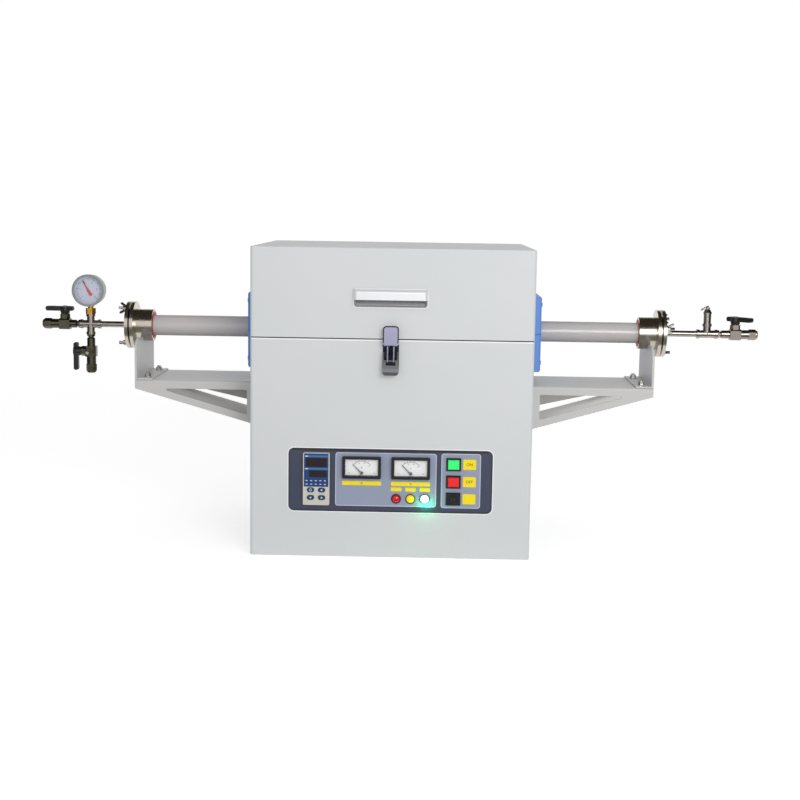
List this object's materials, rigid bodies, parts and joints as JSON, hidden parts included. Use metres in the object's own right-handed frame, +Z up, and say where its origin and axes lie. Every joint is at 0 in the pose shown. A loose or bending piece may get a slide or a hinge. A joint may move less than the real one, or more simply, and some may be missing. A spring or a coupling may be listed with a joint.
{
  "type": "split tube furnace",
  "caption": "Bench split tube furnace: grey cabinet with hinged lid and control panel, quartz tube through both sides, bracketed vacuum flanges, gas valves, gauge.",
  "frame": {"origin": "centre of the cabinet's flat underside", "axes": "+X to the right along the tube seen from the front, +Y to the back, +Z up"},
  "size_m": [1.383, 0.4657, 0.562],
  "materials": {
    "cabinet_paint": "satin powder coat, light warm grey",
    "bracket_paint": "satin powder coat, light grey",
    "zinc_steel": "plain zinc plated sheet",
    "fibre": "vacuum formed alumina fibre, matte white",
    "heater_wire": "oxidised resistance wire",
    "quartz": "clear fused quartz",
    "panel_slate": "matte slate blue front plate",
    "instrument_grey": "moulded cream grey plastic",
    "instrument_window": "tinted blue window",
    "meter_plastic": "black moulded meter case",
    "dial_glass": "clear window",
    "chrome_trim": "bright chrome",
    "lamp_plastic": "coloured lamp lenses",
    "green_plastic": "green push button",
    "red_plastic": "red push button",
    "key_plastic": "grey rubber-dome key caps",
    "cover_blue": "satin blue powder coat",
    "stainless": "polished stainless steel",
    "silicone": "red silicone",
    "brass": "machined brass",
    "gauge_silver": "silver painted case and bezel",
    "needle_red": "red painted pointer",
    "needle_black": "black painted needle",
    "nylon_black": "black glass filled nylon",
    "electronics": "anodised heat sink and case"
  },
  "bodies": {
    "cabinet": {"cabinet_shell": "cabinet_paint", "back_panel": "cabinet_paint", "mains_gland": "nylon_black", "deck_plate": "zinc_steel", "lower_insulation": "fibre", "lower_heater": "heater_wire", "lower_tray": "zinc_steel", "power_module": "electronics", "thermocouple": "stainless", "quartz_tube": "quartz", "control_panel": "panel_slate", "controller_housing": "instrument_grey", "controller_display": "instrument_window", "meter_cases": "meter_plastic", "dial_windows": "dial_glass", "panel_bezels": "nylon_black", "lamp_lenses": "lamp_plastic", "latch_base": "chrome_trim", "lower_covers": "cover_blue", "left_bracket": "bracket_paint", "right_bracket": "bracket_paint", "tube_saddles": "bracket_paint", "flange_bodies": "stainless", "flange_caps": "stainless", "flange_seals": "silicone", "wing_nuts": "stainless", "left_cross": "stainless", "gauge_adapter": "brass", "gauge_case": "gauge_silver", "left_valve": "stainless", "drain_valve": "stainless", "right_tee": "stainless", "relief_valve": "stainless", "right_valve": "stainless", "fasteners": "stainless", "hinge_lower": "zinc_steel"},
    "lid": {"lid_shell": "cabinet_paint", "lid_deck": "zinc_steel", "upper_insulation": "fibre", "upper_heater": "heater_wire", "upper_covers": "cover_blue", "lid_handle": "chrome_trim", "latch_keeper": "chrome_trim", "hinge_upper": "zinc_steel"},
    "latch_lever": {"latch_lever": "chrome_trim"},
    "latch_claw": {"latch_claw": "chrome_trim"},
    "left_valve_lever": {"left_valve_lever": "nylon_black"},
    "drain_valve_lever": {"drain_valve_lever": "nylon_black"},
    "right_valve_lever": {"right_valve_lever": "nylon_black"},
    "gauge_pointer": {"gauge_pointer": "needle_red"},
    "ammeter_needle": {"ammeter_needle": "needle_black"},
    "voltmeter_needle": {"voltmeter_needle": "needle_black"},
    "start_button": {"start_button": "green_plastic"},
    "stop_button": {"stop_button": "red_plastic"},
    "key_rotor": {"key_rotor": "nylon_black"},
    "relief_stem": {"relief_stem": "stainless"},
    "set_key": {"set_key": "key_plastic"},
    "shift_key": {"shift_key": "key_plastic"},
    "down_key": {"down_key": "key_plastic"},
    "up_key": {"up_key": "key_plastic"}
  },
  "joints": [
    {"name": "lid_hinge", "type": "hinge", "parent": "cabinet", "child": "lid", "pos_m": [0, 0.218, 0.4], "axis": [-1, 0, 0], "range_deg": [0, 95]},
    {"name": "latch_pull", "type": "hinge", "parent": "cabinet", "child": "latch_lever", "pos_m": [-0.002, -0.2195, 0.374], "axis": [-1, 0, 0], "range_deg": [0, 110]},
    {"name": "claw_swing", "type": "hinge", "parent": "latch_lever", "child": "latch_claw", "pos_m": [-0.002, -0.224, 0.362], "axis": [-1, 0, 0], "range_deg": [-135, 0]},
    {"name": "left_valve_turn", "type": "hinge", "parent": "cabinet", "child": "left_valve_lever", "pos_m": [-0.642, 0, 0.4], "axis": [0, 0, 1], "range_deg": [0, 90]},
    {"name": "drain_valve_turn", "type": "hinge", "parent": "cabinet", "child": "drain_valve_lever", "pos_m": [-0.592, 0, 0.347], "axis": [-1, 0, 0], "range_deg": [0, 90]},
    {"name": "right_valve_turn", "type": "hinge", "parent": "cabinet", "child": "right_valve_lever", "pos_m": [0.655, 0, 0.4], "axis": [0, 0, 1], "range_deg": [-45, 45]},
    {"name": "gauge_needle_turn", "type": "hinge", "parent": "cabinet", "child": "gauge_pointer", "pos_m": [-0.592, 0, 0.466], "axis": [0, 1, 0], "range_deg": [-105, 165]},
    {"name": "ammeter_needle_swing", "type": "hinge", "parent": "cabinet", "child": "ammeter_needle", "pos_m": [-0.052, -0.214, 0.1555], "axis": [0, 1, 0], "range_deg": [0, 90]},
    {"name": "voltmeter_needle_swing", "type": "hinge", "parent": "cabinet", "child": "voltmeter_needle", "pos_m": [0.037, -0.214, 0.1555], "axis": [0, 1, 0], "range_deg": [0, 90]},
    {"name": "start_button_press", "type": "slide", "parent": "cabinet", "child": "start_button", "axis": [0, 1, 0], "range_m": [0, 0.003], "stiffness_N_per_m": 600, "springref_m": -0.001},
    {"name": "stop_button_press", "type": "slide", "parent": "cabinet", "child": "stop_button", "axis": [0, 1, 0], "range_m": [0, 0.003], "stiffness_N_per_m": 600, "springref_m": -0.001},
    {"name": "key_turn", "type": "hinge", "parent": "cabinet", "child": "key_rotor", "pos_m": [0.1145, -0.21, 0.1105], "axis": [0, 1, 0], "range_deg": [0, 90]},
    {"name": "relief_pull", "type": "slide", "parent": "cabinet", "child": "relief_stem", "axis": [0, 0, 1], "range_m": [0, 0.003], "stiffness_N_per_m": 1500, "springref_m": -0.002},
    {"name": "set_key_press", "type": "slide", "parent": "cabinet", "child": "set_key", "axis": [0, 1, 0], "range_m": [0, 0.0005], "stiffness_N_per_m": 800, "springref_m": -0.0005},
    {"name": "shift_key_press", "type": "slide", "parent": "cabinet", "child": "shift_key", "axis": [0, 1, 0], "range_m": [0, 0.0005], "stiffness_N_per_m": 800, "springref_m": -0.0005},
    {"name": "down_key_press", "type": "slide", "parent": "cabinet", "child": "down_key", "axis": [0, 1, 0], "range_m": [0, 0.0005], "stiffness_N_per_m": 800, "springref_m": -0.0005},
    {"name": "up_key_press", "type": "slide", "parent": "cabinet", "child": "up_key", "axis": [0, 1, 0], "range_m": [0, 0.0005], "stiffness_N_per_m": 800, "springref_m": -0.0005}
  ],
  "couplings": [
    {"joint": "claw_swing", "follows": "latch_pull", "ratio": -1.2}
  ]
}
